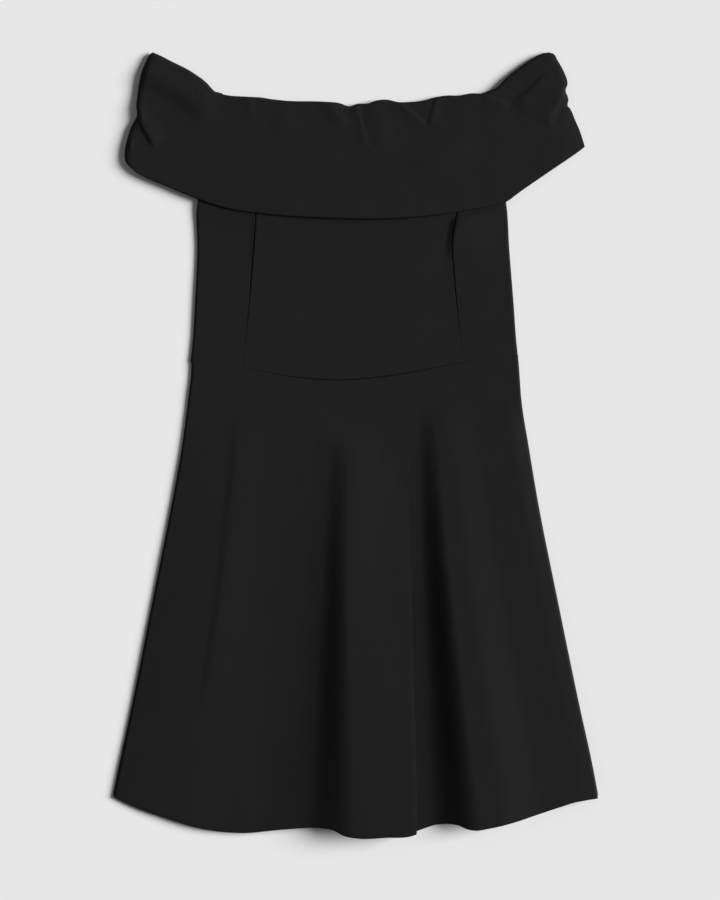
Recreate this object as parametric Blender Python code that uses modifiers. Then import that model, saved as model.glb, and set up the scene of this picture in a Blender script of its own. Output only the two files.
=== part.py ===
"""Off-shoulder dress laid flat on its back, front up, as eight sewn pieces of stretch crepe.

The back pieces lie on the surface, and each front piece lies 0.3 mm above the one under it.
X runs to the right as the dress is seen from above, Y towards the neckline and Z up.
The origin is the middle of the dress on the surface it lies on.
Sizes and tables are in millimetres, and the mesh is made in metres.
"""

import math
from collections import namedtuple

import bmesh
import bpy

MM = 0.001

# Cloth and how the layers lie.
CLOTH = 1.2           # one layer of crepe
COLLAR_CLOTH = 2.4    # the collar is cut double and folded at its lower edge
SEAM_GAP = 0.3        # between pieces that meet or lie on each other
COLLAR_STEP = COLLAR_CLOTH + SEAM_GAP   # how far the bodice is lifted by the collar's back
STEP_RUN = 32.0       # the length over which the bodice comes down to the surface again
SLEEVE_LOFT = 3.2     # air between the collar's front and back beside the bodice
SLEEVE_RUN = 30.0     # the width over which the collar comes down beside the bodice
EDGE_TURN = 0.3       # how far a turned edge leans outwards
NECK_COVER = 8.2      # the bodice's top edge ends this far inside the neckline

# The main sizes, seen from above.
HEM_CORNER_Y = -368.0
HEM_DROP = 44.2       # the hem's middle below its corners
BACK_HEM_DROP = 27.0
BACK_HEM_SHORTER = 1.5
BACK_WAIST_DIP = 5.0
BACK_NECK_LOWER = 4.0
COLLAR_DEPTH = 115.0  # from the neckline to the lower edge
FOLD_START = 0.15     # a fold starts softly over this share of its length

Across = namedtuple("Across", "height left right")
Point = namedtuple("Point", "x y")
Wave = namedtuple("Wave", "centre lift left right")
FoldLine = namedtuple("FoldLine", "name top hem height begins columns")
Crease = namedtuple("Crease", "name x y to_x to_y width height")

# The outline's two sides, from the bodice's top edge down to the hem.
BODICE_SIDES = [
    Across(height=366.0, left=-142.0, right=139.0),
    Across(height=330.0, left=-145.5, right=141.5),
    Across(height=290.0, left=-155.0, right=149.5),
    Across(height=254.0, left=-165.4, right=157.6),
    Across(height=205.0, left=-165.6, right=161.1),
    Across(height=152.0, left=-168.0, right=165.3),
    Across(height=88.0, left=-172.4, right=170.4),
]
SKIRT_SIDES = [
    Across(height=91.0, left=-172.4, right=170.4),
    Across(height=47.0, left=-175.6, right=173.8),
    Across(height=-5.0, left=-182.4, right=182.0),
    Across(height=-58.0, left=-191.9, right=190.9),
    Across(height=-163.0, left=-212.6, right=211.8),
    Across(height=-268.0, left=-233.2, right=233.4),
    Across(height=HEM_CORNER_Y, left=-254.4, right=254.4),
]

WAIST_SEAM = [
    Point(-172.4, 88.2), Point(-135.0, 84.0), Point(-104.0, 78.6), Point(-62.0, 71.4),
    Point(-20.0, 68.6), Point(22.0, 71.4), Point(64.0, 77.8), Point(106.0, 86.0),
    Point(137.0, 90.6), Point(170.4, 94.4),
]
# The seams of the front's middle panel, from the neckline to the waist.
LEFT_PANEL_SEAM = [
    Point(-102.0, 362.0), Point(-103.5, 300.0), Point(-105.0, 243.0), Point(-108.0, 200.0),
    Point(-111.8, 152.0), Point(-118.7, 78.0),
]
RIGHT_PANEL_SEAM = [
    Point(108.0, 362.0), Point(108.5, 300.0), Point(106.0, 246.0), Point(101.0, 222.0),
    Point(102.5, 185.0), Point(107.0, 138.0), Point(114.5, 83.0),
]

# The collar's lower edge, its neckline and the gathered end at each shoulder.
COLLAR_LOWER = [
    Point(-240.8, 297.2), Point(-235.5, 290.9), Point(-225.4, 284.6), Point(-196.6, 272.0),
    Point(-166.0, 259.4), Point(-137.6, 249.9), Point(-95.6, 243.4), Point(-32.6, 239.2),
    Point(30.5, 238.2), Point(93.5, 243.4), Point(135.5, 250.8), Point(158.0, 256.4),
    Point(170.0, 265.2), Point(205.0, 289.4), Point(233.6, 309.0), Point(240.2, 314.0),
]
COLLAR_NECKLINE = [
    Point(-212.6, 412.1), Point(-194.3, 403.4), Point(-169.0, 390.1), Point(-156.5, 380.7),
    Point(-144.4, 369.2), Point(-112.4, 365.6), Point(-74.6, 361.8), Point(-30.5, 360.3),
    Point(-5.3, 356.0), Point(20.0, 361.0), Point(45.2, 360.2), Point(76.7, 363.2),
    Point(108.2, 366.6), Point(144.0, 372.8), Point(158.6, 386.0), Point(183.8, 404.6),
    Point(203.0, 412.1),
]
LEFT_SHOULDER = [
    Point(-240.8, 297.2), Point(-242.0, 304.0), Point(-239.0, 322.0), Point(-229.6, 345.0),
    Point(-229.3, 366.0), Point(-225.6, 386.0), Point(-218.6, 404.5), Point(-212.6, 412.1),
]
RIGHT_SHOULDER = [
    Point(240.2, 314.0), Point(230.2, 341.0), Point(223.4, 358.0), Point(220.6, 372.0),
    Point(220.6, 385.0), Point(211.8, 404.0), Point(203.0, 412.1),
]

# Where the hem leaves its plain arc: it draws up in a valley and hangs lower on a ridge.
HEM_WAVES = [
    Wave(centre=-160.0, lift=-7.8, left=95.0, right=75.0),
    Wave(centre=-35.0, lift=10.8, left=85.0, right=27.0),
    Wave(centre=90.0, lift=9.8, left=34.0, right=36.0),
    Wave(centre=136.0, lift=-3.2, left=20.0, right=45.0),
    Wave(centre=222.0, lift=2.8, left=38.0, right=30.0),
]
# The crests and feet of the skirt front's folds, as lines that run down from the waist. Top and
# hem are shares of the width there, height is the height above the back at the hem, and
# begins is the share of the length at which the line starts to rise. Columns is how many
# columns of the grid there are from the line before up to this one.
FOLD_LINES = [
    FoldLine("left side", 0.0, 0.0, 0.0, 0.0, 1),
    FoldLine("left rise", 0.08, 0.08, 2.2, 0.0, 2),
    FoldLine("left crest", 0.17, 0.17, 3.4, 0.0, 2),
    FoldLine("left level", 0.28, 0.27, 3.6, 0.0, 2),
    FoldLine("middle foot", 0.384, 0.339, 5.2, 0.0, 2),
    FoldLine("middle slope", 0.431, 0.403, 8.4, 0.03, 2),
    FoldLine("middle crest", 0.472, 0.4985, 23.2, 0.075, 6),
    FoldLine("middle level", 0.650, 0.6095, 24.2, 0.18, 6),
    FoldLine("middle lip", 0.6612, 0.6252, 23.6, 0.18, 1),
    FoldLine("lip foot", 0.667, 0.632, 2.8, 0.18, 2),
    FoldLine("right foot", 0.692, 0.656, 3.6, 0.12, 2),
    FoldLine("right crest", 0.742, 0.755, 20.2, 0.03, 6),
    FoldLine("right shoulder", 0.769, 0.796, 20.1, 0.025, 2),
    FoldLine("right slope", 0.866, 0.889, 14.3, 0.02, 3),
    FoldLine("right level", 0.950, 0.965, 13.5, 0.0, 3),
    FoldLine("right rim", 0.985, 0.989, 12.2, 0.0, 1),
    FoldLine("right side", 1.0, 1.0, 0.5, 0.0, 2),
]
# The collar's largest folds: soft ridges that get lower towards their far end.
COLLAR_CREASES = [
    Crease("left pleat lip", -222.0, 344.0, -205.0, 312.0, 9.0, 2.6),
    Crease("left crown", -214.0, 400.0, -150.0, 378.0, 15.0, 1.6),
    Crease("right crown", 152.0, 376.0, 206.0, 402.0, 14.0, 1.6),
    Crease("right pleat lip", 216.0, 366.0, 198.0, 322.0, 9.0, 2.4),
    Crease("neck ridge left", -32.0, 356.0, -18.0, 338.0, 9.0, 1.4),
    Crease("neck ridge middle", 4.0, 356.0, 16.0, 318.0, 9.0, 1.8),
    Crease("neck ridge right", 62.0, 358.0, 84.0, 330.0, 10.0, 1.8),
]

SKIRT_ROWS = 13
COLLAR_COLUMNS = 44
COLLAR_ROWS = 8

CREPE_COLOUR = (0.0152, 0.0152, 0.0156, 1.0)
CREPE_ROUGHNESS = 0.85
SMOOTH_ANGLE = math.radians(50)


# Plain curves and shapes.

def mix(a, b, share):
    return a + (b - a) * share


def ease(share):
    """0 to 1 with a level start and end."""
    share = min(1.0, max(0.0, share))
    return share * share * (3.0 - 2.0 * share)


def mound(distance, reach_left, reach_right):
    """1 at the middle, falling smoothly to 0 at the reach on either side."""
    reach = reach_left if distance < 0 else reach_right
    share = min(1.0, abs(distance) / reach)
    return 0.5 + 0.5 * math.cos(math.pi * share)


def curve_through(knots, overshoots=True):
    """A smooth function through (at, value) pairs, which are sorted by at."""
    knots = sorted(knots)
    at = [knot[0] for knot in knots]
    value = [knot[1] for knot in knots]
    last = len(knots) - 1

    def slope(i):
        low, high = max(0, i - 1), min(last, i + 1)
        if overshoots:
            return (value[high] - value[low]) / (at[high] - at[low])
        before, after = value[i] - value[low], value[high] - value[i]
        if before * after <= 0:
            return 0.0
        return 2 / ((at[i] - at[low]) / before + (at[high] - at[i]) / after)

    slopes = [slope(i) for i in range(last + 1)]

    def curve(x):
        x = min(at[-1], max(at[0], x))
        i = max(k for k in range(last) if at[k] <= x)
        run = at[i + 1] - at[i]
        t = (x - at[i]) / run
        start = (1 + 2 * t) * (1 - t) ** 2 * value[i] + t * (1 - t) ** 2 * run * slopes[i]
        end = t * t * (3 - 2 * t) * value[i + 1] - t * t * (1 - t) * run * slopes[i + 1]
        return start + end

    return curve


def across_curve(points):
    """An edge that runs from left to right: share -> (x, y)."""
    height = curve_through([(p.x, p.y) for p in points])
    first, last = points[0].x, points[-1].x

    def edge(share):
        x = mix(first, last, share)
        return x, height(x)

    return edge


def upright_curve(points):
    """An edge that runs from its lower to its upper end: share -> (x, y)."""
    place = curve_through([(p.y, p.x) for p in points])
    heights = [p.y for p in points]
    low, high = min(heights), max(heights)

    def edge(share):
        y = mix(low, high, share)
        return place(y), y

    return edge


def between(bottom, top, left, right):
    """The patch that four edges bound: (u, v) -> (x, y)."""
    corners = {(u, v): (bottom if v == 0 else top)(u) for u in (0, 1) for v in (0, 1)}

    def place(u, v):
        found = []
        for axis in (0, 1):
            ruled = mix(bottom(u)[axis], top(u)[axis], v) + mix(left(v)[axis], right(v)[axis], u)
            low = mix(corners[0, 0][axis], corners[1, 0][axis], u)
            high = mix(corners[0, 1][axis], corners[1, 1][axis], u)
            found.append(ruled - mix(low, high, v))
        return tuple(found)

    return place


def side_edge(table, side, low, high):
    """One side of the outline between two heights, as an upright edge."""
    place = curve_through([(row.height, getattr(row, side)) for row in table])

    def edge(share):
        y = mix(low, high, share)
        return place(y), y

    return edge


# The dress's own lines.

def hem_height(x):
    """The front hem's Y at X."""
    half = SKIRT_SIDES[-1].right
    arc = HEM_CORNER_Y - HEM_DROP * (1.0 - (x / half) ** 2)
    return arc + sum(w.lift * mound(x - w.centre, w.left, w.right) for w in HEM_WAVES)


def back_hem_height(x):
    half = SKIRT_SIDES[-1].right
    return HEM_CORNER_Y + BACK_HEM_SHORTER - BACK_HEM_DROP * (1.0 - (x / half) ** 2)


def hem_edge(height):
    half = SKIRT_SIDES[-1].right

    def edge(share):
        x = mix(-half, half, share)
        return x, height(x)

    return edge


waist_height = curve_through([(p.x, p.y) for p in WAIST_SEAM])
collar_lower_height = curve_through([(p.x, p.y) for p in COLLAR_LOWER])
neckline_height = curve_through([(p.x, p.y) for p in COLLAR_NECKLINE])
bodice_left = curve_through([(row.height, row.left) for row in BODICE_SIDES])
bodice_right = curve_through([(row.height, row.right) for row in BODICE_SIDES])


def back_waist_height(x):
    left, right = WAIST_SEAM[0], WAIST_SEAM[-1]
    share = (x - left.x) / (right.x - left.x)
    return mix(left.y, right.y, share) - BACK_WAIST_DIP * math.sin(math.pi * share)


def bodice_lift(x, y):
    """How far the bodice lies above the surface, which the collar's back lifts it from."""
    return COLLAR_STEP * ease((y - collar_lower_height(x) + STEP_RUN) / STEP_RUN)


def collar_inner_height(x, y):
    """The inner side of the collar's front: on the bodice, and lower beside it."""
    on_bodice = COLLAR_STEP + 2 * (CLOTH + SEAM_GAP)
    beside = COLLAR_CLOTH + SLEEVE_LOFT
    outside = max(bodice_left(y) - x, x - bodice_right(y), 0.0)
    height = mix(on_bodice, beside, ease(outside / SLEEVE_RUN))
    return height + sum(crease_height(crease, x, y) for crease in COLLAR_CREASES)


def crease_height(crease, x, y):
    """What a crease adds at a point, which fades towards its far end."""
    run_x, run_y = crease.to_x - crease.x, crease.to_y - crease.y
    length = math.hypot(run_x, run_y)
    along = ((x - crease.x) * run_x + (y - crease.y) * run_y) / length ** 2
    aside = math.hypot(x - crease.x - along * run_x, y - crease.y - along * run_y)
    inside = along if along < 0 else max(0.0, along - 1.0)
    distance = math.hypot(aside, inside * length)
    return crease.height * mound(distance, crease.width, crease.width) * (1 - 0.5 * ease(along))


def risen(share):
    """How far a fold has risen, of its height at the hem: it starts softly."""
    share = max(0.0, share)
    return math.sin(math.pi / 2 * share) * ease(share / FOLD_START)


def skirt_profile(down):
    """The front's height above the back, by share of the width, at a share of the length."""
    knots = []
    for line in FOLD_LINES:
        share = risen((down - line.begins) / (1 - line.begins))
        knots.append((mix(line.top, line.hem, down), line.height * share))
    return curve_through(knots, overshoots=False)


def fold_places(down):
    """The grid's columns at a share of the length, as shares of the width: they follow the folds."""
    places = [0.0]
    for line in FOLD_LINES[1:]:
        start, end = places[-1], mix(line.top, line.hem, down)
        places += [mix(start, end, (k + 1) / line.columns) for k in range(line.columns)]
    return places


# Making the pieces.

def crepe_material(name):
    material = bpy.data.materials.new(name)
    material.use_nodes = True
    shader = material.node_tree.nodes["Principled BSDF"]
    shader.inputs["Base Color"].default_value = CREPE_COLOUR
    shader.inputs["Roughness"].default_value = CREPE_ROUGHNESS
    shader.inputs["Metallic"].default_value = 0.0
    return material


def cloth_piece(name, columns, rows, point, wall, face_down=False):
    """A sheet over a grid of shares, given its wall by Solidify on the outer side.

    point(u, v) is the inner side of the cloth, as (x, y, z) in millimetres.
    """
    sheet = bmesh.new()
    bmesh.ops.create_grid(sheet, x_segments=len(columns) - 1, y_segments=len(rows) - 1, size=1.0)
    sheet.verts.ensure_lookup_table()
    for j, v in enumerate(rows):
        for i, u in enumerate(columns):
            sheet.verts[j * len(columns) + i].co = [c * MM for c in point(u, v)]
    if face_down:
        bmesh.ops.reverse_faces(sheet, faces=sheet.faces)
    mesh = bpy.data.meshes.new(name)
    sheet.to_mesh(mesh)
    sheet.free()
    mesh.shade_smooth()
    mesh.set_sharp_from_angle(angle=SMOOTH_ANGLE)
    mesh.materials.append(crepe_material(name + "_crepe"))
    piece = bpy.data.objects.new(name, mesh)
    dress.objects.link(piece)
    solidify = piece.modifiers.new("cloth wall", "SOLIDIFY")
    solidify.thickness = wall * MM
    solidify.offset = 1.0
    solidify.use_even_offset = True
    solidify.use_quality_normals = True
    return piece


def even_shares(count):
    return [i / count for i in range(count + 1)]


def skirt_patch(hem, waist):
    """The skirt between its hem and its waist seam: v is 0 at the hem."""
    left_top, right_top = waist(SKIRT_SIDES[0].left), waist(SKIRT_SIDES[0].right)
    low = HEM_CORNER_Y

    def top(share):
        x = mix(SKIRT_SIDES[0].left, SKIRT_SIDES[0].right, share)
        return x, waist(x) - SEAM_GAP / 2

    bottom = hem_edge(hem)
    left = side_edge(SKIRT_SIDES, "left", low, left_top - SEAM_GAP / 2)
    right = side_edge(SKIRT_SIDES, "right", low, right_top - SEAM_GAP / 2)
    return between(shift_to(bottom, left(0), right(0)), top, left, right)


def shift_to(edge, start, end):
    """The edge moved in Y so that its ends meet the two points."""
    first, last = edge(0), edge(1)

    def moved(share):
        x, y = edge(share)
        return x, y + mix(start[1] - first[1], end[1] - last[1], share)

    return moved


def make_skirt():
    front = skirt_patch(hem_height, waist_height)
    back = skirt_patch(back_hem_height, back_waist_height)

    rows = [1 - (1 - share) ** 1.15 for share in even_shares(SKIRT_ROWS)]
    profiles = {v: skirt_profile(1 - v) for v in rows}
    places = {v: fold_places(1 - v) for v in rows}

    def front_point(column, v):
        across = places[v][column]
        return *front(across, v), CLOTH + SEAM_GAP + profiles[v](across)

    def back_point(u, v):
        return *back(u, v), 0.0

    cloth_piece("skirt_front", range(len(fold_places(0))), rows, front_point, CLOTH)
    cloth_piece("skirt_back", even_shares(20), even_shares(6), back_point, CLOTH)


def bodice_panel(name, left, right, top_drop, waist, floor, columns, rows):
    """A panel of the bodice between two upright lines of X by height."""
    def point(u, v):
        x = 0.0
        for _ in range(3):   # the ends depend on X, and X on the height: this soon settles
            low = waist(x) + SEAM_GAP / 2
            high = neckline_height(x) - top_drop
            y = mix(low, high, v)
            x = mix(left(y), right(y), u)
        return x, y, floor + bodice_lift(x, y)

    cloth_piece(name, even_shares(columns), rows, point, CLOTH)


def make_bodice():
    left_seam = curve_through([(p.y, p.x) for p in LEFT_PANEL_SEAM])
    right_seam = curve_through([(p.y, p.x) for p in RIGHT_PANEL_SEAM])
    half_gap = SEAM_GAP / 2
    on_back = CLOTH + SEAM_GAP
    rows = [0, 0.14, 0.28, 0.40, 0.475, 0.51, 0.54, 0.57, 0.60, 0.65, 0.76, 0.88, 1.0]
    bodice_panel("bodice_back", bodice_left, bodice_right, NECK_COVER + BACK_NECK_LOWER,
                 back_waist_height, 0.0, 14, rows)
    bodice_panel("bodice_centre_front", lambda y: left_seam(y) + half_gap,
                 lambda y: right_seam(y) - half_gap, NECK_COVER, waist_height, on_back, 10, rows)
    bodice_panel("bodice_side_left", bodice_left, lambda y: left_seam(y) - half_gap,
                 NECK_COVER, waist_height, on_back, 4, rows)
    bodice_panel("bodice_side_right", lambda y: right_seam(y) + half_gap, bodice_right,
                 NECK_COVER, waist_height, on_back, 4, rows)


def make_collar():
    lower = across_curve(COLLAR_LOWER)
    neck = across_curve(COLLAR_NECKLINE)
    left = upright_curve(LEFT_SHOULDER)
    right = upright_curve(RIGHT_SHOULDER)
    front = between(lower, neck, left, right)
    back = between(lower, back_neckline(neck), left, right)
    inset = COLLAR_CLOTH + EDGE_TURN
    width = COLLAR_LOWER[-1].x - COLLAR_LOWER[0].x
    first, last, top = inset / width, 1 - inset / width, 1 - inset / COLLAR_DEPTH
    columns = [mix(first, last, share) for share in even_shares(COLLAR_COLUMNS)]
    rows = [mix(0, top, share) for share in even_shares(COLLAR_ROWS)]

    def turned(place, inner, direction):
        """The sheet with its neckline and its two ends turned towards the other half."""
        def point(u, v):
            inside_u, inside_v = min(last, max(first, u)), min(top, v)
            x, y = place(inside_u, inside_v)
            z = inner(x, y)
            if (u, v) == (inside_u, inside_v):
                return x, y, z
            out_x = EDGE_TURN * ((u > last) - (u < first))
            out_y = EDGE_TURN * (v > top)
            turn = (collar_inner_height(x, y) - COLLAR_CLOTH - SEAM_GAP) / 2
            return x + out_x, y + out_y, z + direction * turn
        return point

    columns = [first - 1, *columns, last + 1]
    rows = [*rows, top + 1]
    cloth_piece("collar_front", columns, rows, turned(front, collar_inner_height, -1),
                COLLAR_CLOTH)
    cloth_piece("collar_back", columns, rows, turned(back, lambda x, y: COLLAR_CLOTH, 1),
                COLLAR_CLOTH, face_down=True)


def back_neckline(neck):
    """The neckline of the collar's back, a little lower between the shoulders."""
    def edge(share):
        x, y = neck(share)
        return x, y - BACK_NECK_LOWER * math.sin(math.pi * share) ** 0.5
    return edge


for leftover in list(bpy.data.objects):
    bpy.data.objects.remove(leftover)
dress = bpy.data.collections.new("off_shoulder_dress")
bpy.context.scene.collection.children.link(dress)
make_skirt()
make_bodice()
make_collar()
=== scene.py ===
"""The looks of an off-shoulder dress in black stretch crepe, laid flat with its front up.

Each cloth piece is a thin shell. A grid of points on its outer side fills the piece's outline,
and the height of each point is worked out from soft levels, valleys, creases and rolled edges.
Lengths are in millimetres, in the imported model's frame, and the meshes are made in metres.
"""

import math
from collections import namedtuple

import bpy
import numpy as np
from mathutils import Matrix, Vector


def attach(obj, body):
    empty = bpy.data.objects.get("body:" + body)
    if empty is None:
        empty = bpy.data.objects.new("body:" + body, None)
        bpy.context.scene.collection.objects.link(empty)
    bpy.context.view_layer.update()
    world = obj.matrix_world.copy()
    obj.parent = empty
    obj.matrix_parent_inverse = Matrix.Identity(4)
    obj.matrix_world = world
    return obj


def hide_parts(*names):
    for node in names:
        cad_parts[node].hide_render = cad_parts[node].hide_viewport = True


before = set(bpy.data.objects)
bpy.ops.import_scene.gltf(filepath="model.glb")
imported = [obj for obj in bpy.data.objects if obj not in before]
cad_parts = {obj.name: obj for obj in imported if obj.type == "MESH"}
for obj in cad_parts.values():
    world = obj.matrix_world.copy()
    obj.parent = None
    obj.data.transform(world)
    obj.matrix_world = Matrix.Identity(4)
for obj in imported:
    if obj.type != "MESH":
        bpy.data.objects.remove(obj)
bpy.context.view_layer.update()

MM = 0.001

# Cloth and how the layers lie.
CLOTH = 1.2                # one layer of crepe
COLLAR_CLOTH = 2.4         # the collar is double
SEAM_GAP = 0.3
COLLAR_STEP = COLLAR_CLOTH + SEAM_GAP
STEP_RUN = 32.0            # the bodice comes down to the surface over this length
SLEEVE_LOFT = 3.2          # the collar's front lies this far over its back beside the bodice
SLEEVE_RUN = 30.0
AIR = 1.0                  # air between the front and the back of the dress
AIR_RUN = 26.0             # under the collar there is none, and it grows over this length
AIR_BELOW_COLLAR = 4.0
FRONT_LOW = 1.9            # the outer side of a front piece at its side seam
NECK_COVER = 8.2           # the bodice ends this far under the collar's neckline
BACK_NECK_LOWER = 4.0
BACK_WAIST_DIP = 5.0
BODICE_BOTTOM, BODICE_TOP = 80.0, 350.0    # about where a panel's heights start and end
RIM = 0.35                 # how far a cut edge is rounded, as a share of the wall

# How edges turn down at seams.
SIDE_TURN = 2.4
SEAM_TURN = 1.6
SEAM_TIGHT_TURN = 0.2      # where the seam allowances under the cloth hold its edge up
SEAM_DEPTH = 0.9
SEAM_SHUT, SEAM_OPEN = 0.04, 0.30    # from a piece's edge to the seam's middle
SEAM_FAINT = 0.15          # of a seam's depth where it is flat and shut
SEAM_SWELL = 0.15          # the seam allowances lift the cloth a little
SEAM_SWELL_RUN = 9.0
PANEL_SEAM_SHUT_AT, PANEL_SEAM_OPENS_OVER = 95.0, 95.0
WAIST_SEAM_OPEN_SPREAD = 150.0
LEFT_SEAM_WIDENS_AT, LEFT_SEAM_WIDENS_OVER = 190.0, 50.0
PUCKER_BELOW_COLLAR = 2.5  # the puckers end just under the collar's edge
PUCKER_END_RUN = 7.0
NECK_TURN = 5.0
SHOULDER_TURN = 6.5
COLLAR_FRONT_LIP = 4.65    # how high the collar's halves are where they turn towards each other
COLLAR_BACK_LIP = 2.5
COLLAR_CURL = 2.4          # the front collar's lower edge stands a little off the bodice
COLLAR_CURL_RUN = 17.0
COLLAR_CURL_MIDDLE, COLLAR_CURL_SPREAD = 18.0, 168.0
RIGHT_END_DROP = 2.8       # the front collar slopes down to its right end
RIGHT_END_RUN = 36.0
RIGHT_END_TOP, RIGHT_END_FADE = 368.0, 34.0

# How grids are spaced. Near edge is how far the first lines are from an end that turns over.
EDGE_RUN = 7.0
NEAR_EDGE = [0.0, 0.08, 0.25, 0.5, 0.85, 1.3, 1.9, 2.6, 3.5, 4.6, 5.8]
HEM_WIDTH, SKIRT_LENGTH = 508.0, 494.0
BODICE_WIDTH, BODICE_FRONT_LENGTH, BODICE_BACK_LENGTH = 340.0, 285.0, 280.0
COLLAR_LENGTH, COLLAR_DEPTH = 490.0, 118.0

# The skirt.
HEM_CORNER = -368.0
BACK_HEM_DROP = 27.0
BACK_HEM_SHORTER = 1.5
FOLD_START = 0.12          # a fold starts softly over this share of its length

Point = namedtuple("Point", "x y")
Across = namedtuple("Across", "height left right")
FoldLine = namedtuple("FoldLine", "name top hem height begins tuck columns")
Crease = namedtuple("Crease", "name points height left right fade_in fade_out crest")
Waves = namedtuple("Waves", "seed height shortest longest")
Panel = namedtuple("Panel", "node left right width flat area")

# Outlines and seams as seen from above. The height in a row of side seams is its Y.
SKIRT_SIDES = [
    Across(height=91.0, left=-172.4, right=170.4),
    Across(height=86.0, left=-172.0, right=170.9),
    Across(height=47.0, left=-175.6, right=173.8),
    Across(height=-5.0, left=-182.4, right=182.0),
    Across(height=-58.0, left=-191.9, right=190.9),
    Across(height=-163.0, left=-212.6, right=211.8),
    Across(height=-268.0, left=-233.2, right=233.4),
    Across(height=-345.0, left=-249.5, right=250.0),
    Across(height=HEM_CORNER, left=-254.2, right=254.2),
]
BODICE_SIDES = [
    Across(height=366.0, left=-142.0, right=139.0),
    Across(height=330.0, left=-145.5, right=141.5),
    Across(height=290.0, left=-155.0, right=149.5),
    Across(height=254.0, left=-165.4, right=157.6),
    Across(height=205.0, left=-165.6, right=161.1),
    Across(height=152.0, left=-168.0, right=165.3),
    Across(height=100.0, left=-171.4, right=169.4),
    Across(height=88.0, left=-172.9, right=170.9),
]
WAIST_SEAM = [
    Point(-172.4, 88.2), Point(-156.0, 87.6), Point(-135.0, 84.0), Point(-104.0, 78.6),
    Point(-62.0, 71.4), Point(-20.0, 68.6), Point(22.0, 71.4), Point(64.0, 77.8),
    Point(106.0, 86.0), Point(137.0, 90.6), Point(170.4, 94.4),
]
LEFT_PANEL_SEAM = [
    Point(-102.0, 362.0), Point(-103.5, 300.0), Point(-105.0, 243.0), Point(-108.0, 200.0),
    Point(-111.8, 152.0), Point(-118.7, 78.0),
]
RIGHT_PANEL_SEAM = [
    Point(108.0, 362.0), Point(108.5, 300.0), Point(106.0, 246.0), Point(101.0, 222.0),
    Point(102.5, 185.0), Point(107.0, 138.0), Point(114.5, 83.0),
]
# The two raised parts of the front hem end up to 3.5 mm short, because a raised hem looks
# further out in a picture from above.
HEM = [
    Point(-254.2, -368.0), Point(-240.0, -375.0), Point(-225.8, -381.0), Point(-200.6, -389.6),
    Point(-175.3, -397.5), Point(-156.5, -402.2), Point(-137.6, -404.6), Point(-112.4, -405.4),
    Point(-87.2, -402.8), Point(-62.0, -400.4), Point(-36.8, -399.0), Point(-24.2, -400.4),
    Point(-11.6, -406.0), Point(1.1, -408.2), Point(32.6, -407.4), Point(57.8, -405.8),
    Point(70.4, -401.2), Point(83.0, -397.0), Point(95.5, -395.4), Point(108.2, -396.4),
    Point(114.5, -399.0), Point(123.9, -400.6), Point(139.7, -398.4), Point(164.8, -392.5),
    Point(190.1, -384.6), Point(215.2, -376.4), Point(227.9, -372.4), Point(240.5, -370.0),
    Point(254.2, -368.0),
]
COLLAR_LOWER = [
    Point(-235.5, 290.9), Point(-225.4, 284.6), Point(-196.6, 272.0), Point(-166.0, 259.4),
    Point(-137.6, 249.9), Point(-95.6, 243.4), Point(-32.6, 239.2), Point(30.5, 238.2),
    Point(93.5, 243.4), Point(135.5, 250.8), Point(158.0, 256.4), Point(170.0, 265.2),
    Point(205.0, 289.4), Point(233.6, 309.0), Point(240.2, 313.9),
]
COLLAR_NECKLINE = [
    Point(-212.6, 412.1), Point(-206.9, 409.8), Point(-194.2, 403.4), Point(-169.1, 390.1),
    Point(-156.5, 380.7), Point(-146.5, 370.6), Point(-137.6, 367.9), Point(-112.4, 365.6),
    Point(-99.8, 364.9), Point(-87.2, 363.0), Point(-74.5, 361.6), Point(-30.5, 360.3),
    Point(-17.9, 359.2), Point(-5.2, 355.7), Point(1.1, 358.0), Point(13.7, 358.8),
    Point(19.9, 361.1), Point(32.6, 362.6), Point(45.1, 360.0), Point(57.8, 360.2),
    Point(70.4, 361.6), Point(83.0, 364.9), Point(95.5, 366.9), Point(108.2, 366.8),
    Point(120.8, 369.1), Point(133.3, 369.3), Point(146.0, 373.9), Point(158.6, 386.0),
    Point(171.2, 395.9), Point(183.8, 404.6), Point(196.3, 411.1), Point(202.7, 412.1),
]
LEFT_SHOULDER = [
    Point(-235.5, 290.9), Point(-240.8, 297.2), Point(-242.0, 303.4), Point(-241.7, 309.8),
    Point(-238.9, 322.4), Point(-234.7, 334.9), Point(-230.6, 342.3), Point(-229.3, 345.0),
    Point(-229.8, 355.8), Point(-228.7, 366.4), Point(-227.0, 379.1), Point(-224.2, 391.7),
    Point(-218.8, 404.2), Point(-215.6, 410.0), Point(-212.6, 412.1),
]
RIGHT_SHOULDER = [
    Point(240.2, 313.9), Point(235.4, 328.7), Point(230.2, 341.2), Point(224.4, 353.9),
    Point(221.6, 357.0), Point(223.2, 361.2), Point(222.2, 366.4), Point(220.1, 371.2),
    Point(222.3, 379.1), Point(218.5, 391.7), Point(211.6, 404.2), Point(208.0, 410.2),
    Point(202.7, 412.1),
]

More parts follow.
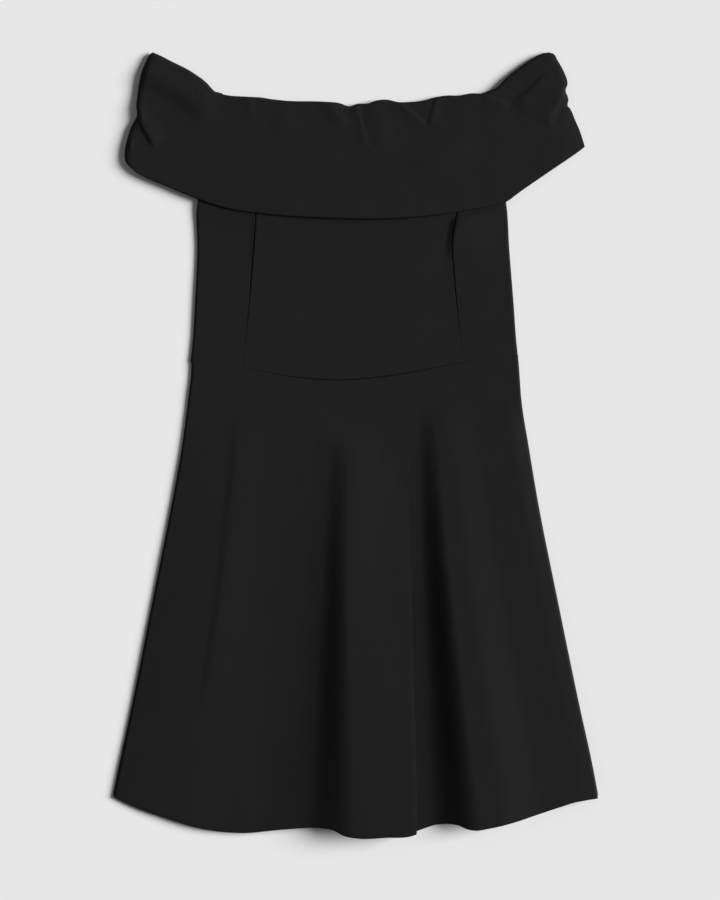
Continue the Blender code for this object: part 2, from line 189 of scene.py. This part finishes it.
# The crests and feet of the skirt front's folds, as lines that run down from the waist. Top and
# hem are shares of the width there, height is the height above the back at the hem, begins is
# the share of the length at which the line starts to rise, and tuck is how far it is tucked
# back under the line before it at the hem. Columns is how many columns of the grid there are
# from the line before up to this one.
FOLD_LINES = [
    FoldLine("left side", 0.0, 0.0, 0.0, 0.0, 0.0, 1),
    FoldLine("left rise", 0.08, 0.08, 2.2, 0.0, 0.0, 26),
    FoldLine("left crest", 0.17, 0.17, 3.4, 0.0, 0.0, 24),
    FoldLine("left level", 0.28, 0.27, 3.6, 0.0, 0.0, 24),
    FoldLine("middle foot", 0.384, 0.339, 5.2, 0.0, 0.0, 18),
    FoldLine("middle slope", 0.431, 0.399, 8.4, 0.025, 0.0, 18),
    FoldLine("middle crest", 0.473, 0.496, 23.2, 0.067, 0.0, 38),
    FoldLine("middle top", 0.600, 0.575, 24.0, 0.15, 0.0, 16),
    FoldLine("middle level", 0.650, 0.6095, 24.2, 0.17, 0.0, 14),
    FoldLine("lip edge", 0.6608, 0.6248, 23.7, 0.17, 0.0, 10),
    FoldLine("middle lip", 0.6612, 0.6252, 23.65, 0.17, 0.0, 2),
    FoldLine("lip side", 0.6613, 0.6253, 23.3, 0.17, 0.0, 2),
    FoldLine("lip foot", 0.6619, 0.6262, 2.8, 0.17, 5.0, 10),
    FoldLine("beside lip foot", 0.6624, 0.6267, 2.82, 0.17, 5.0, 2),
    FoldLine("right foot", 0.692, 0.656, 3.6, 0.12, 0.0, 14),
    FoldLine("right crest", 0.740, 0.755, 20.2, 0.045, 0.0, 40),
    FoldLine("right shoulder", 0.769, 0.796, 20.1, 0.04, 0.0, 18),
    FoldLine("right slope", 0.866, 0.889, 14.3, 0.06, 0.0, 24),
    FoldLine("right level", 0.950, 0.965, 13.5, 0.05, 0.0, 18),
    FoldLine("right side", 1.0, 1.0, 12.0, 0.15, 0.0, 18),
]

# A crease runs through its points. Left and right are its widths on either side, as seen
# going from the first point to the last. A sharp crest breaks the light, a soft one doesn't.
COLLAR_CREASES = [
    Crease("gather 1", [(-108, 336), (-110, 350), (-111, 366)], 0.55, 9, 7, 20, 0, "soft"),
    Crease("gather 2", [(-72, 318), (-77, 338), (-82, 362)], 0.5, 15, 24, 25, 8, "soft"),
    Crease("gather 3", [(-8, 331), (-18, 343), (-29, 361)], 0.95, 13, 9, 14, 0, "soft"),
    Crease("gather 4", [(24, 298), (10, 318), (6, 337), (1.5, 357)], 0.62, 13, 3.2, 45, 0, "sharp"),
    Crease("gather 5", [(36, 303), (24, 335), (18, 360)], 0.7, 15, 18, 30, 0, "soft"),
    Crease("gather 6", [(75, 334), (64, 343), (47, 358)], 1.0, 15, 4, 10, 0, "sharp"),
    Crease("gather 7", [(76.5, 333), (80, 346), (85, 364)], 1.0, 4, 14, 8, 0, "sharp"),
    Crease("broad pull", [(104, 280), (84, 325)], 1.2, 46, 50, 30, 20, "soft"),
    Crease("right pocket low", [(130, 366), (148, 361), (164, 357)], 1.05, 4.0, 22, 12, 10, "sharp"),
    Crease("right pocket high", [(163, 356), (178, 366), (192, 379), (206, 394)],
           1.3, 5.5, 30, 16, 20, "soft"),
    Crease("right pocket pleat", [(157, 377.5), (177, 375)], 0.35, 3.0, 8, 6, 8, "soft"),
    Crease("right pleat", [(198, 332), (204, 346), (217, 371)], 1.7, 26, 8, 18, 0, "soft"),
    Crease("left pull", [(-226, 392), (-204, 384), (-180, 369), (-160, 356), (-138, 346)],
           1.9, 23, 20, 10, 30, "soft"),
    Crease("left end streak", [(-226, 391), (-214, 388), (-202, 384)], 0.55, 8, 5, 3, 9, "soft"),
    Crease("left pull tuck", [(-167, 373), (-152, 366)], 0.5, 4, 7, 4, 5, "soft"),
    Crease("left pleat", [(-209, 310), (-214, 319), (-221, 331), (-226.5, 343), (-231, 352)],
           2.2, 4.0, 24, 12, 0, "sharp"),
    Crease("left end tuck", [(-235, 306), (-235.5, 325)], 0.7, 3.0, 4.0, 6, 6, "soft"),
]
RIGHT_SEAM_PUCKER = Crease("right seam pucker", [(101.5, 186), (104.5, 220), (110.0, 243)],
                           3.0, 9.5, 50, 40, 0, "soft")
PANEL_CREASES = {
    "bodice_side_left": [
        Crease("left seam pucker", [(-105, 176), (-101, 215), (-99, 242)], 1.2, 10, 6, 40, 0, "soft"),
    ],
    "bodice_centre_front": [
        RIGHT_SEAM_PUCKER,
        Crease("under collar left", [(-79, 208), (-82, 236)], 0.2, 16, 9, 14, 0, "soft"),
    ],
    "bodice_side_right": [RIGHT_SEAM_PUCKER],
}
SKIRT_CREASES = [
    Crease("outer fold", [(-120, 36), (-123.4, -5), (-131.8, -78), (-140.2, -162), (-153.9, -246),
                          (-163.3, -309)], 0.85, 34, 9.5, 55, 90, "soft"),
    Crease("hem ripple", [(-115, -405), (-113, -330)], 0.45, 22, 22, 0, 55, "soft"),
]

# Cloth never lies quite even. Each row is a set of waves of like lengths.
WAVE_COUNT = 14
SKIRT_WAVES = [Waves(3, 0.10, 45, 130), Waves(4, 0.02, 9, 24)]
BODICE_WAVES = [Waves(5, 0.10, 40, 110), Waves(6, 0.02, 9, 24)]
COLLAR_WAVES = [Waves(7, 0.10, 35, 110), Waves(8, 0.025, 9, 24)]


# Curves.

def mix(a, b, share):
    return a + (b - a) * share


def ease(share):
    """0 to 1 with a level start and end."""
    share = np.clip(share, 0.0, 1.0)
    return share * share * (3.0 - 2.0 * share)


def mound(share):
    """1 at 0, falling smoothly to 0 at 1."""
    return 0.5 + 0.5 * np.cos(math.pi * np.clip(np.abs(share), 0.0, 1.0))


def smooth_curve(at, value, overshoots=True):
    """A smooth function through the values, with at in rising order."""
    at, value = np.array(at, float), np.array(value, float)
    slope = np.gradient(value, at)
    if not overshoots:
        run, rise = np.diff(at), np.diff(value)
        turns = rise[:-1] * rise[1:] <= 0
        before = run[:-1] / np.where(turns, 1, rise[:-1])
        after = run[1:] / np.where(turns, 1, rise[1:])
        between = np.where(turns, 0.0, 2 / (before + after))
        slope = np.concatenate([slope[:1], between, slope[-1:]])

    def curve(x):
        x = np.clip(x, at[0], at[-1])
        i = np.clip(np.searchsorted(at, x, side="right") - 1, 0, len(at) - 2)
        run = at[i + 1] - at[i]
        t = (x - at[i]) / run
        start = (1 + 2 * t) * (1 - t) ** 2 * value[i] + t * (1 - t) ** 2 * run * slope[i]
        end = t * t * (3 - 2 * t) * value[i + 1] - t * t * (1 - t) * run * slope[i + 1]
        return start + end

    return curve


def by_x(points):
    points = sorted(points)
    return smooth_curve([p.x for p in points], [p.y for p in points])


def by_y(points):
    points = sorted(points, key=lambda p: p.y)
    return smooth_curve([p.y for p in points], [p.x for p in points])


def side_of(table, side):
    rows = sorted(table)
    return smooth_curve([row.height for row in rows], [getattr(row, side) for row in rows])


def edge_through(points):
    """An edge by its share of the way along the points: share -> (x, y)."""
    way = np.concatenate([[0.0], np.cumsum([math.dist(a, b) for a, b in zip(points, points[1:])])])
    x = smooth_curve(way / way[-1], [p[0] for p in points])
    y = smooth_curve(way / way[-1], [p[1] for p in points])
    return lambda share: np.stack([x(share), y(share)])


def patch(bottom, top, left, right, u, v):
    """X and Y of a grid between four edges that meet at their ends: rows by v, columns by u."""
    low, high = bottom(u)[:, None, :], top(u)[:, None, :]
    first, last = left(v)[:, :, None], right(v)[:, :, None]
    across, up = u[None, None, :], v[None, :, None]
    low_ends = mix(low[:, :, :1], low[:, :, -1:], across)
    high_ends = mix(high[:, :, :1], high[:, :, -1:], across)
    return mix(low, high, up) + mix(first, last, across) - mix(low_ends, high_ends, up)


def stations(length, step, close_start=True, close_end=True):
    """Shares along a length: evenly spaced, and closer at an end that turns over."""
    near = np.array(NEAR_EDGE)
    inner = np.linspace(EDGE_RUN, length - EDGE_RUN, max(2, round((length - 2 * EDGE_RUN) / step)))
    plain = np.arange(0.0, EDGE_RUN - step / 2, step)
    start = near if close_start else plain
    end = length - (near if close_end else plain)[::-1]
    return np.concatenate([start, inner, end]) / length


# Heights.

def crease_height(crease, x, y):
    """What one crease adds to the height."""
    points = np.array(crease.points, float)
    run = np.diff(points, axis=0)
    length = np.hypot(run[:, 0], run[:, 1])
    start = np.concatenate([[0.0], np.cumsum(length)])
    nearest = np.full(x.shape, np.inf)
    side = np.zeros(x.shape)
    way = np.zeros(x.shape)
    for k, (dx, dy) in enumerate(run):
        t = ((x - points[k, 0]) * dx + (y - points[k, 1]) * dy) / length[k] ** 2
        t = np.clip(t, 0.0, 1.0)
        off_x, off_y = x - points[k, 0] - t * dx, y - points[k, 1] - t * dy
        away = np.hypot(off_x, off_y)
        closer = away < nearest
        nearest = np.where(closer, away, nearest)
        side = np.where(closer, dx * off_y - dy * off_x, side)
        way = np.where(closer, start[k] + t * length[k], way)
    share = nearest / np.where(side > 0, crease.left, crease.right)
    if crease.crest == "sharp":
        rounding = 0.12
        share = (np.sqrt(share ** 2 + rounding ** 2) - rounding) / (1 - rounding)
        shape = np.clip(1 - share, 0.0, 1.0) ** 2
    else:
        shape = mound(share)
    if crease.fade_in:
        shape = shape * ease(way / crease.fade_in)
    if crease.fade_out:
        shape = shape * ease((start[-1] - way) / crease.fade_out)
    return crease.height * shape


def creased(table, x, y):
    return sum(crease_height(crease, x, y) for crease in table)


def undulation(waves, x, y):
    """Gentle unevenness from waves in many directions."""
    chance = np.random.default_rng(waves.seed)
    total = np.zeros(x.shape)
    for _ in range(WAVE_COUNT):
        turn, phase = chance.uniform(0, math.tau, 2)
        length = waves.shortest * (waves.longest / waves.shortest) ** chance.uniform()
        total += np.sin((x * math.cos(turn) + y * math.sin(turn)) * math.tau / length + phase)
    return total * waves.height / math.sqrt(WAVE_COUNT)


def unevenness(table, x, y):
    return sum(undulation(waves, x, y) for waves in table)


def turned_down(z, distance, reach, low):
    """The height with a rolled edge: it comes down to low where the distance is 0."""
    inside = np.clip(distance / reach, 0.0, 1.0)
    return z - (z - low) * (1 - np.sqrt(1 - (1 - inside) ** 2))


def panel_seam_pull(y):
    """How far a panel seam is pulled open: 1 near the collar, 0 at the waist."""
    return ease((y - PANEL_SEAM_SHUT_AT) / PANEL_SEAM_OPENS_OVER)


def waist_seam_pull(x):
    """How far the waist seam is pulled open: 1 in the middle, 0 near the sides."""
    return mound(x / WAIST_SEAM_OPEN_SPREAD)


def half_gap(pull):
    """The distance from a piece's edge to the seam's middle."""
    return mix(SEAM_SHUT, SEAM_OPEN, pull)


def seam_edge(z, distance, pull, turn=SEAM_TURN):
    """The height beside a seam: a small swell and a rolled edge, fainter where the seam is shut."""
    strength = mix(SEAM_FAINT, 1.0, pull)
    swell = SEAM_SWELL * strength * mound(distance / SEAM_SWELL_RUN)
    return turned_down(z + swell, distance, turn, z - SEAM_DEPTH * strength)


waist_line = by_x(WAIST_SEAM)
collar_lower_line = by_x(COLLAR_LOWER)
neck_line = by_x(COLLAR_NECKLINE)
hem_line = by_x(HEM)
left_panel_line = by_y(LEFT_PANEL_SEAM)
right_panel_line = by_y(RIGHT_PANEL_SEAM)
bodice_left, bodice_right = side_of(BODICE_SIDES, "left"), side_of(BODICE_SIDES, "right")
skirt_left, skirt_right = side_of(SKIRT_SIDES, "left"), side_of(SKIRT_SIDES, "right")


def back_waist_line(x):
    left, right = WAIST_SEAM[0], WAIST_SEAM[-1]
    share = (x - left.x) / (right.x - left.x)
    return mix(left.y, right.y, share) - BACK_WAIST_DIP * np.sin(math.pi * np.clip(share, 0, 1))


def back_hem_line(x):
    return HEM_CORNER + BACK_HEM_SHORTER - BACK_HEM_DROP * (1.0 - (x / HEM[-1].x) ** 2)


def bodice_lift(x, y):
    """How far the collar's back lifts the bodice."""
    return COLLAR_STEP * ease((y - collar_lower_line(x) + STEP_RUN) / STEP_RUN)


def risen(share):
    """How far a fold has risen, of its height at the hem: it starts softly."""
    share = max(0.0, share)
    return math.sin(math.pi / 2 * share) * ease(share / FOLD_START)


def fold_section(down, width):
    """A section of the front at a share of the length: places across, as shares of the width, and
    heights above the back, at the grid's columns. The columns follow the folds."""
    growth = [risen((down - line.begins) / (1 - line.begins)) for line in FOLD_LINES]
    across = [width * mix(line.top, line.hem, down) - line.tuck * share
              for line, share in zip(FOLD_LINES, growth)]
    height = [line.height * share for line, share in zip(FOLD_LINES, growth)]
    knots = np.stack([across, height], -1)
    way = np.concatenate([[0.0], np.cumsum(np.linalg.norm(np.diff(knots, axis=0), axis=1))])
    columns = [np.linspace(a, b, line.columns + 1)[1:]
               for a, b, line in zip(way, way[1:], FOLD_LINES[1:])]
    at = np.concatenate([[0.0], *columns])
    return (smooth_curve(way, across, overshoots=False)(at) / width,
            smooth_curve(way, height, overshoots=False)(at))


def skirt_front_height(folds, x, y):
    height = folds + AIR + creased(SKIRT_CREASES, x, y)
    height += unevenness(SKIRT_WAVES, x, y)
    z = 2 * CLOTH + SEAM_GAP + np.maximum(height, 0.0)
    z = turned_down(z, x - skirt_left(y), SIDE_TURN, FRONT_LOW)
    z = turned_down(z, skirt_right(y) - x, SIDE_TURN, FRONT_LOW)
    pull = waist_seam_pull(x)
    return seam_edge(z, waist_line(x) - half_gap(pull) - y, pull)


def bodice_front_height(node, x, y, left_seam, right_seam):
    """left_seam and right_seam are the distances to the panel seams, or None at a side seam."""
    lift = bodice_lift(x, y)
    air = AIR * ease((collar_lower_line(x) - AIR_BELOW_COLLAR - y) / AIR_RUN)
    z = 2 * CLOTH + SEAM_GAP + lift + air
    z += unevenness(BODICE_WAVES, x, y) * air / AIR
    below_collar = ease((collar_lower_line(x) - PUCKER_BELOW_COLLAR - y) / PUCKER_END_RUN)
    z += creased(PANEL_CREASES[node], x, y) * below_collar
    z = turned_down(z, x - bodice_left(y), SIDE_TURN, FRONT_LOW + lift)
    z = turned_down(z, bodice_right(y) - x, SIDE_TURN, FRONT_LOW + lift)
    if left_seam is not None:
        turn = SEAM_TURN * (1 + ease((y - LEFT_SEAM_WIDENS_AT) / LEFT_SEAM_WIDENS_OVER))
        z = seam_edge(z, left_seam, panel_seam_pull(y), turn)
    if right_seam is not None:
        z = seam_edge(z, right_seam, panel_seam_pull(y), SEAM_TIGHT_TURN)
    pull = waist_seam_pull(x)
    return seam_edge(z, y - waist_line(x) - half_gap(pull), pull)


def collar_front_height(x, y, from_left, from_right):
    on_bodice = COLLAR_STEP + 2 * (CLOTH + SEAM_GAP)
    beside = COLLAR_CLOTH + SLEEVE_LOFT
    outside = np.maximum(np.maximum(bodice_left(y) - x, x - bodice_right(y)), 0.0)
    z = COLLAR_CLOTH + mix(on_bodice, beside, ease(outside / SLEEVE_RUN))
    z += creased(COLLAR_CREASES, x, y)
    lifted = mound((x - COLLAR_CURL_MIDDLE) / COLLAR_CURL_SPREAD)
    z += COLLAR_CURL * lifted * mound((y - collar_lower_line(x)) / COLLAR_CURL_RUN)
    z += unevenness(COLLAR_WAVES, x, y)
    near_right = np.clip(1 - from_right / RIGHT_END_RUN, 0.0, 1.0)
    z -= RIGHT_END_DROP * near_right ** 2 * ease((RIGHT_END_TOP - y) / RIGHT_END_FADE)
    z = turned_down(z, from_left, SHOULDER_TURN, COLLAR_FRONT_LIP)
    z = turned_down(z, from_right, SHOULDER_TURN, COLLAR_FRONT_LIP)
    return turned_down(z, neck_line(x) - y, NECK_TURN, COLLAR_FRONT_LIP)


# Finishes.

class Shade:
    """A number that a material works out over the surface. Sums with it add Math nodes."""

    def __init__(self, finish, socket):
        self.finish, self.socket = finish, socket

    def math(self, operation, first, second):
        return self.finish.add("ShaderNodeMath", {"operation": operation}, {0: first, 1: second})

    def __add__(self, other):
        return self.math("ADD", self, other)

    def __radd__(self, other):
        return self.math("ADD", other, self)

    def __mul__(self, other):
        return self.math("MULTIPLY", self, other)

    def __rmul__(self, other):
        return self.math("MULTIPLY", other, self)


class Finish:
    """A material and its nodes."""

    def __init__(self, name):
        self.material = bpy.data.materials.new(name)
        self.material.use_nodes = True
        self.tree = self.material.node_tree
        self.tree.nodes.clear()

    def add(self, kind, settings, sockets, output=0):
        node = self.tree.nodes.new(kind)
        for name, value in settings.items():
            setattr(node, name, value)
        for name, value in sockets.items():
            if isinstance(value, Shade):
                self.tree.links.new(value.socket, node.inputs[name])
            else:
                node.inputs[name].default_value = value
        return Shade(self, node.outputs[output])

    def close(self, surface):
        end = self.tree.nodes.new("ShaderNodeOutputMaterial")
        self.tree.links.new(surface.socket, end.inputs["Surface"])
        return self.material


CREPE_BLACK = (0.0078, 0.0078, 0.0080, 1)
CREPE_WORN = (0.0100, 0.0100, 0.0103, 1)
PALE_FLOOR = (0.80, 0.80, 0.80, 1)
MIX_COLOURS_IN, MIX_COLOUR_OUT = (6, 7), 2     # the colour sockets of a Mix node, by number


def crepe_finish():
    """Matt black stretch crepe: a fine pebbled grain over close ribs, and faint cloudiness."""
    finish = Finish("black_crepe")
    place = finish.add("ShaderNodeTexCoord", {}, {}, "Object")
    grain = finish.add("ShaderNodeTexNoise", {}, {"Vector": place, "Scale": 1500.0, "Detail": 2.0})
    ribs_place = finish.add("ShaderNodeMapping", {}, {"Vector": place, "Scale": (1.0, 0.28, 1.0)})
    ribs = finish.add("ShaderNodeTexNoise", {}, {"Vector": ribs_place, "Scale": 1900.0, "Detail": 1.0})
    cloud = finish.add("ShaderNodeTexNoise", {}, {"Vector": place, "Scale": 22.0, "Detail": 4.0})
    relief = grain * 0.6 + ribs * 0.8
    bump = finish.add("ShaderNodeBump", {}, {"Height": relief, "Strength": 0.35, "Distance": 0.00025})
    tone = cloud * 0.6 + relief * 0.35
    colours = dict(zip(MIX_COLOURS_IN, (CREPE_BLACK, CREPE_WORN)))
    colour = finish.add("ShaderNodeMix", {"data_type": "RGBA"}, {"Factor": tone, **colours},
                        MIX_COLOUR_OUT)
    roughness = 0.74 + grain * 0.16
    surface = finish.add("ShaderNodeBsdfPrincipled", {},
                         {"Base Color": colour, "Roughness": roughness, "Normal": bump,
                          "Specular IOR Level": 0.12})
    return finish.close(surface)


def floor_finish():
    finish = Finish("pale_floor")
    surface = finish.add("ShaderNodeBsdfPrincipled", {},
                         {"Base Color": PALE_FLOOR, "Roughness": 1.0, "Specular IOR Level": 0.0})
    return finish.close(surface)


crepe = crepe_finish()


# Making cloth.

def grid_normals(points):
    """The unit normal at each point of a grid, on the side that faces up where it lies flat."""
    along = np.gradient(points, axis=1)
    up = np.gradient(points, axis=0)
    normal = np.cross(along, up)
    return normal / np.linalg.norm(normal, axis=2, keepdims=True)


def border(rows, columns):
    """The grid's outermost points in turn, as (row, column)."""
    loop = [(0, i) for i in range(columns)]
    loop += [(j, columns - 1) for j in range(1, rows)]
    loop += [(rows - 1, i) for i in range(columns - 2, -1, -1)]
    return loop + [(j, 0) for j in range(rows - 2, 0, -1)]


def cloth(name, outer, wall, face_down=False):
    """A closed shell of cloth from the grid of points on its outer side, with a rounded rim."""
    normal = grid_normals(outer) * (-1 if face_down else 1)
    inner = outer - normal * wall
    rows, columns = outer.shape[:2]
    loop = np.array(border(rows, columns))
    edge_out, edge_in = outer[loop[:, 0], loop[:, 1]], inner[loop[:, 0], loop[:, 1]]
    along = np.roll(edge_out, -1, axis=0) - np.roll(edge_out, 1, axis=0)
    away = np.cross(along, normal[loop[:, 0], loop[:, 1]]) * (-1 if face_down else 1)
    away /= np.linalg.norm(away, axis=1, keepdims=True)
    rings = []
    for turn in (45, 90, 135):
        share = (1 - math.cos(math.radians(turn))) / 2
        bulge = RIM * wall * math.sin(math.radians(turn))
        rings.append(mix(edge_out, edge_in, share) + away * bulge)
    points = np.concatenate([outer.reshape(-1, 3), inner.reshape(-1, 3), *rings]) * MM
    number = np.arange(rows * columns).reshape(rows, columns)
    quads = np.stack([number[:-1, :-1], number[:-1, 1:], number[1:, 1:], number[1:, :-1]], -1)
    quads = quads.reshape(-1, 4)
    count = rows * columns
    edge = number[loop[:, 0], loop[:, 1]]
    ring_start = [2 * count + k * len(loop) for k in range(len(rings))]
    levels = [edge, *(start + np.arange(len(loop)) for start in ring_start), edge + count]
    rim = [np.stack([np.roll(a, -1), a, b, np.roll(b, -1)], -1) for a, b in zip(levels, levels[1:])]
    faces = np.concatenate([quads, quads[:, ::-1] + count, *rim])
    if face_down:
        faces = faces[:, ::-1]
    mesh = bpy.data.meshes.new(name)
    mesh.from_pydata(points.tolist(), [], faces.tolist())
    mesh.shade_smooth()
    mesh.materials.append(crepe)
    piece = bpy.data.objects.new(name, mesh)
    bpy.context.scene.collection.objects.link(piece)
    return piece


def lay(piece, node, flat, area):
    """Puts a piece in place of its CAD node. Its arguments flat and area, the size that its cloth was
    cut to, are not used.
    """
    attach(piece, "root")
    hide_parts(node)


def skirt_grid(across, up, hem, waist):
    """X and Y of a skirt panel's grid. across may differ from row to row."""
    corner_left = np.array([HEM[0].x, HEM[0].y])
    corner_right = np.array([HEM[-1].x, HEM[-1].y])
    top_left, top_right = waist(SKIRT_SIDES[0].left), waist(SKIRT_SIDES[0].right)
    left_y = mix(corner_left[1], top_left, up)
    right_y = mix(corner_right[1], top_right, up)
    left_x, right_x = skirt_left(left_y), skirt_right(right_y)
    x = mix(left_x[:, None], right_x[:, None], across)
    hem_x = mix(corner_left[0], corner_right[0], across)
    waist_x = mix(SKIRT_SIDES[0].left, SKIRT_SIDES[0].right, across)
    y = mix(hem(hem_x), waist(waist_x), up[:, None])
    straight_hem = mix(corner_left[1], corner_right[1], across)
    straight_waist = mix(top_left, top_right, across)
    straight = mix(straight_hem, straight_waist, up[:, None])
    sides = mix(left_y[:, None], right_y[:, None], across)
    return x, y + sides - straight


def make_skirt_front():
    up = stations(SKIRT_LENGTH, step=4.0, close_start=False)
    heights_up = mix(HEM_CORNER, WAIST_SEAM[0].y, up)
    widths = skirt_right(heights_up) - skirt_left(heights_up)
    sections = np.array([fold_section(1 - v, width) for v, width in zip(up, widths)])

    def waist(x):
        return waist_line(x) - half_gap(waist_seam_pull(x))

    x, y = skirt_grid(sections[:, 0], up, hem_line, waist)
    z = skirt_front_height(sections[:, 1], x, y)
    piece = cloth("skirt_front_cloth", np.stack([x, y, z], -1), CLOTH)
    lay(piece, "skirt_front", (0.545, 0.500), 0.213)


def make_skirt_back():
    across = stations(HEM_WIDTH, step=6.0)
    up = stations(SKIRT_LENGTH, step=12.0, close_start=False)
    x, y = skirt_grid(np.broadcast_to(across[None, :], (len(up), len(across))), up,
                      back_hem_line, lambda x: back_waist_line(x) - SEAM_GAP / 2)
    piece = cloth("skirt_back_cloth", np.stack([x, y, np.full(x.shape, CLOTH)], -1), CLOTH)
    lay(piece, "skirt_back", (0.509, 0.489), 0.200)


def bodice_grid(left, right, waist, cover, columns, rows):
    """X and Y of a bodice panel between two upright lines and above a waist line."""
    y = mix(BODICE_BOTTOM, BODICE_TOP, rows)[:, None] * np.ones((1, len(columns)))
    for _ in range(4):   # X depends on the height and the height on X: this soon settles
        x = mix(left(y), right(y), columns[None, :])
        y = mix(waist(x), neck_line(x) - cover, rows[:, None])
    return x, y


def make_bodice_front():
    rows = stations(BODICE_FRONT_LENGTH, step=2.2, close_end=False)

    def waist(x):
        return waist_line(x) + half_gap(waist_seam_pull(x))

    def beside(seam, side):
        """A panel's edge, on the left of a seam where side is -1 and on the right where it is 1."""
        return lambda y: seam(y) + side * half_gap(panel_seam_pull(y))

    panels = [
        Panel("bodice_side_left", bodice_left, beside(left_panel_line, -1),
              58.0, (0.071, 0.282), 0.0150),
        Panel("bodice_centre_front", beside(left_panel_line, 1), beside(right_panel_line, -1),
              220.0, (0.233, 0.292), 0.0600),
        Panel("bodice_side_right", beside(right_panel_line, 1), bodice_right,
              60.0, (0.070, 0.278), 0.0138),
    ]
    for panel in panels:
        columns = stations(panel.width, step=1.9)
        x, y = bodice_grid(panel.left, panel.right, waist, NECK_COVER, columns, rows)
        from_left_seam = None if panel.left is bodice_left else x - panel.left(y)
        from_right_seam = None if panel.right is bodice_right else panel.right(y) - x
        z = bodice_front_height(panel.node, x, y, from_left_seam, from_right_seam)
        piece = cloth(panel.node + "_cloth", np.stack([x, y, z], -1), CLOTH)
        lay(piece, panel.node, panel.flat, panel.area)


def make_bodice_back():
    columns = stations(BODICE_WIDTH, step=6.0)
    rows = stations(BODICE_BACK_LENGTH, step=4.0)

    def waist(x):
        return back_waist_line(x) + SEAM_GAP / 2

    x, y = bodice_grid(bodice_left, bodice_right, waist, NECK_COVER + BACK_NECK_LOWER,
                       columns, rows)
    piece = cloth("bodice_back_cloth", np.stack([x, y, CLOTH + bodice_lift(x, y)], -1), CLOTH)
    lay(piece, "bodice_back", (0.343, 0.275), 0.0845)


def collar_grid(neckline, across, up):
    return patch(edge_through(COLLAR_LOWER), edge_through(neckline), edge_through(LEFT_SHOULDER),
                 edge_through(RIGHT_SHOULDER), across, up)


def make_collar_front():
    across = stations(COLLAR_LENGTH, step=1.5)
    up = stations(COLLAR_DEPTH, step=1.5, close_start=False)
    x, y = collar_grid(COLLAR_NECKLINE, across, up)
    z = collar_front_height(x, y, x - x[:, :1], x[:, -1:] - x)
    piece = cloth("collar_front_cloth", np.stack([x, y, z], -1), COLLAR_CLOTH)
    lay(piece, "collar_front", (0.484, 0.175), 0.0565)


def make_collar_back():
    across = stations(COLLAR_LENGTH, step=5.0)
    up = stations(COLLAR_DEPTH, step=5.0, close_start=False)
    last = len(COLLAR_NECKLINE) - 1
    neckline = []
    for k, point in enumerate(COLLAR_NECKLINE):
        lower = BACK_NECK_LOWER * math.sin(math.pi * k / last) ** 0.5
        neckline.append(Point(point.x, point.y - lower))
    neckline[last] = COLLAR_NECKLINE[last]
    x, y = collar_grid(neckline, across, up)
    back_neck_line = by_x(neckline)
    z = turned_down(np.zeros(x.shape), back_neck_line(x) - y, NECK_TURN, COLLAR_BACK_LIP)
    z = turned_down(z, x - x[:, :1], SHOULDER_TURN, COLLAR_BACK_LIP)
    z = turned_down(z, x[:, -1:] - x, SHOULDER_TURN, COLLAR_BACK_LIP)
    piece = cloth("collar_back_cloth", np.stack([x, y, z], -1), COLLAR_CLOTH, face_down=True)
    lay(piece, "collar_back", (0.484, 0.175), 0.0560)


# Floor, light and camera.

FLOOR_HALF = 4.0
FLOOR_BELOW = 0.0003
PIXEL = 1.05 * MM              # one pixel of the picture, on the floor
PICTURE_HEIGHT = 900           # in pixels
PICTURE_MIDDLE = (4.7 * MM, -4.7 * MM)
CAMERA_HEIGHT = 2.6
LONG_SENSOR = 36.0
SUN_ABOVE_HORIZON = 30.0
SUN_FROM_RIGHT_TOWARDS_NECK = 8.0
SUN_SHARE = 0.86               # of the light that falls on the floor
SUN_SPREAD = 30.0
FLOOR_LIGHT = 1.0


def make_floor():
    mesh = bpy.data.meshes.new("floor")
    corners = [(x * FLOOR_HALF, y * FLOOR_HALF, -FLOOR_BELOW)
               for x, y in [(-1, -1), (1, -1), (1, 1), (-1, 1)]]
    mesh.from_pydata(corners, [], [(0, 1, 2, 3)])
    mesh.materials.append(floor_finish())
    floor = bpy.data.objects.new("floor", mesh)
    bpy.context.scene.collection.objects.link(floor)


def make_light():
    """A soft sun from the right, and the rest of the light from all round."""
    above = math.radians(SUN_ABOVE_HORIZON)
    turn = math.radians(SUN_FROM_RIGHT_TOWARDS_NECK)
    level = math.cos(above)
    towards = Vector((level * math.cos(turn), level * math.sin(turn), math.sin(above)))
    lamp = bpy.data.lights.new("window", "SUN")
    lamp.energy = math.pi * FLOOR_LIGHT * SUN_SHARE / math.sin(above)
    lamp.angle = math.radians(SUN_SPREAD)
    sun = bpy.data.objects.new("window", lamp)
    sun.rotation_mode = "QUATERNION"
    sun.rotation_quaternion = towards.to_track_quat("Z", "Y")
    bpy.context.scene.collection.objects.link(sun)
    room = bpy.data.worlds.new("room")
    room.use_nodes = True
    background = room.node_tree.nodes["Background"]
    background.inputs["Color"].default_value = (1, 1, 1, 1)
    background.inputs["Strength"].default_value = FLOOR_LIGHT * (1 - SUN_SHARE)
    bpy.context.scene.world = room


def make_camera():
    """Straight above, with a long lens, so that the dress lies in the picture as in the photo."""
    data = bpy.data.cameras.new("above")
    data.sensor_width = LONG_SENSOR
    data.lens = LONG_SENSOR * CAMERA_HEIGHT / (PICTURE_HEIGHT * PIXEL)
    data.clip_start, data.clip_end = 0.1, 50.0
    camera = bpy.data.objects.new("above", data)
    camera.location = (*PICTURE_MIDDLE, CAMERA_HEIGHT)
    bpy.context.scene.collection.objects.link(camera)
    bpy.context.scene.camera = camera


make_skirt_back()
make_skirt_front()
make_bodice_back()
make_bodice_front()
make_collar_back()
make_collar_front()
make_floor()
make_light()
make_camera()
bpy.context.scene.view_settings.view_transform = "Standard"
